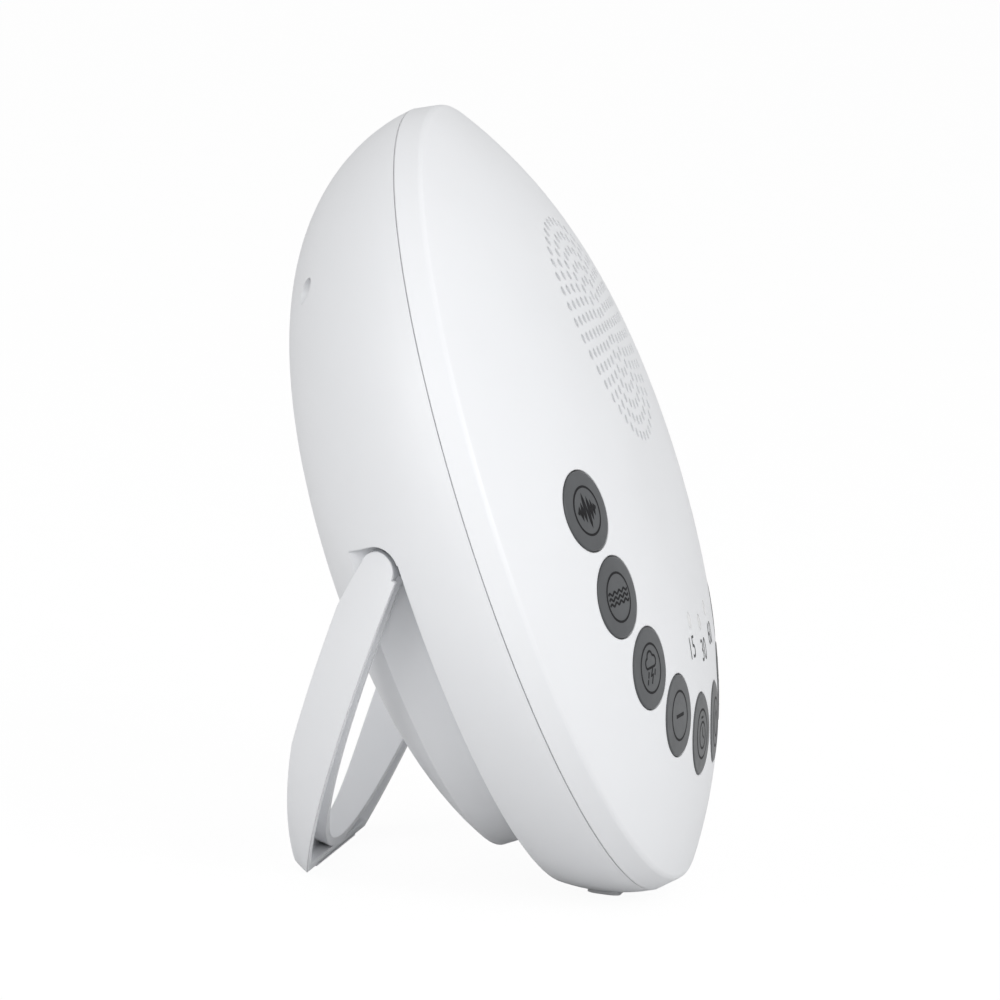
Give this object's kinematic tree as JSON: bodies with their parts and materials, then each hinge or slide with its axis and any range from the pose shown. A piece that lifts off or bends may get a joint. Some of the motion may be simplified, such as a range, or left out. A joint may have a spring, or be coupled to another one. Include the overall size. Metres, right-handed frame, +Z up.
{
  "type": "white noise sound machine",
  "caption": "Round domed sound machine that leans on a folding half-ring stand, with push buttons under a perforated speaker grille.",
  "frame": {"origin": "middle of the case's rubber foot, on the surface that the machine stands on", "axes": "+Z up, the front with the buttons and the grille faces -Y, +X to the right as seen facing the front; the pose at rest is standing with the stand open"},
  "size_m": [0.1474, 0.0835, 0.137],
  "materials": {
    "basket_steel": "zinc plated pressing",
    "board_green": "solder-masked laminate",
    "button_grey": "soft-touch dark grey",
    "capacitor_can": "bright can",
    "case_white": "satin moulded ABS, very fine texture",
    "cell_jacket": "plain printed jacket",
    "cone_paper": "black pulp",
    "contact_nickel": "nickel plated",
    "foot_rubber": "matt translucent grey",
    "gasket_foam": "closed-cell foam",
    "jack_black": "moulded",
    "led_clear": "clear epoxy",
    "magnet_ferrite": "dark ground ferrite",
    "screw_steel": "zinc plated",
    "surround_rubber": "matt black",
    "switch_black": "moulded",
    "window_white": "milky translucent acrylic"
  },
  "bodies": {
    "case": {"front_cover": "case_white", "rear_cover": "case_white", "case_foot": "foot_rubber", "speaker_gasket": "gasket_foam", "speaker_frame": "basket_steel", "speaker_magnet": "magnet_ferrite", "speaker_surround": "surround_rubber", "speaker_cone": "cone_paper", "speaker_dust_cap": "cone_paper", "main_pcb": "board_green", "tact_switches": "switch_black", "timer_leds": "led_clear", "timer_windows": "window_white", "controller_chip": "switch_black", "capacitors": "capacitor_can", "case_screws": "screw_steel", "board_screws": "screw_steel", "speaker_screws": "screw_steel", "battery_cells": "cell_jacket", "battery_contacts": "contact_nickel", "battery_springs": "contact_nickel", "dc_jack": "jack_black"},
    "stand": {"stand": "case_white", "stand_foot": "foot_rubber"},
    "battery_door": {"battery_door": "case_white"},
    "white_noise_button": {"white_noise_button": "button_grey"},
    "ocean_button": {"ocean_button": "button_grey"},
    "rain_button": {"rain_button": "button_grey"},
    "volume_down_button": {"volume_down_button": "button_grey"},
    "timer_button": {"timer_button": "button_grey"},
    "power_button": {"power_button": "button_grey"},
    "volume_up_button": {"volume_up_button": "button_grey"},
    "brook_button": {"brook_button": "button_grey"},
    "night_button": {"night_button": "button_grey"},
    "fan_button": {"fan_button": "button_grey"}
  },
  "joints": [
    {"name": "stand_hinge", "type": "hinge", "parent": "case", "child": "stand", "pos_m": [0, 0.0386, 0.06079], "axis": [-1, 0, 0], "range_deg": [0, 39.6]},
    {"name": "battery_door_lift", "type": "slide", "parent": "case", "child": "battery_door", "axis": [0, 0.9091, -0.4165], "range_m": [0, 0.02]},
    {"name": "white_noise_press", "type": "slide", "parent": "case", "child": "white_noise_button", "axis": [0.3195, 0.8661, -0.3844], "range_m": [0, 0.0007], "stiffness_N_per_m": 900, "springref_m": -0.0005},
    {"name": "ocean_press", "type": "slide", "parent": "case", "child": "ocean_button", "axis": [0.2973, 0.9104, -0.2878], "range_m": [0, 0.0007], "stiffness_N_per_m": 900, "springref_m": -0.0005},
    {"name": "rain_press", "type": "slide", "parent": "case", "child": "rain_button", "axis": [0.2408, 0.949, -0.2035], "range_m": [0, 0.0007], "stiffness_N_per_m": 900, "springref_m": -0.0005},
    {"name": "volume_down_press", "type": "slide", "parent": "case", "child": "volume_down_button", "axis": [0.1566, 0.9775, -0.1412], "range_m": [0, 0.0007], "stiffness_N_per_m": 900, "springref_m": -0.0005},
    {"name": "timer_press", "type": "slide", "parent": "case", "child": "timer_button", "axis": [0.0543, 0.9926, -0.1082], "range_m": [0, 0.0007], "stiffness_N_per_m": 900, "springref_m": -0.0005},
    {"name": "power_press", "type": "slide", "parent": "case", "child": "power_button", "axis": [-0.0543, 0.9926, -0.1082], "range_m": [0, 0.0007], "stiffness_N_per_m": 900, "springref_m": -0.0005},
    {"name": "volume_up_press", "type": "slide", "parent": "case", "child": "volume_up_button", "axis": [-0.1566, 0.9775, -0.1412], "range_m": [0, 0.0007], "stiffness_N_per_m": 900, "springref_m": -0.0005},
    {"name": "brook_press", "type": "slide", "parent": "case", "child": "brook_button", "axis": [-0.2408, 0.949, -0.2035], "range_m": [0, 0.0007], "stiffness_N_per_m": 900, "springref_m": -0.0005},
    {"name": "night_press", "type": "slide", "parent": "case", "child": "night_button", "axis": [-0.2973, 0.9104, -0.2878], "range_m": [0, 0.0007], "stiffness_N_per_m": 900, "springref_m": -0.0005},
    {"name": "fan_press", "type": "slide", "parent": "case", "child": "fan_button", "axis": [-0.3195, 0.8661, -0.3844], "range_m": [0, 0.0007], "stiffness_N_per_m": 900, "springref_m": -0.0005}
  ]
}
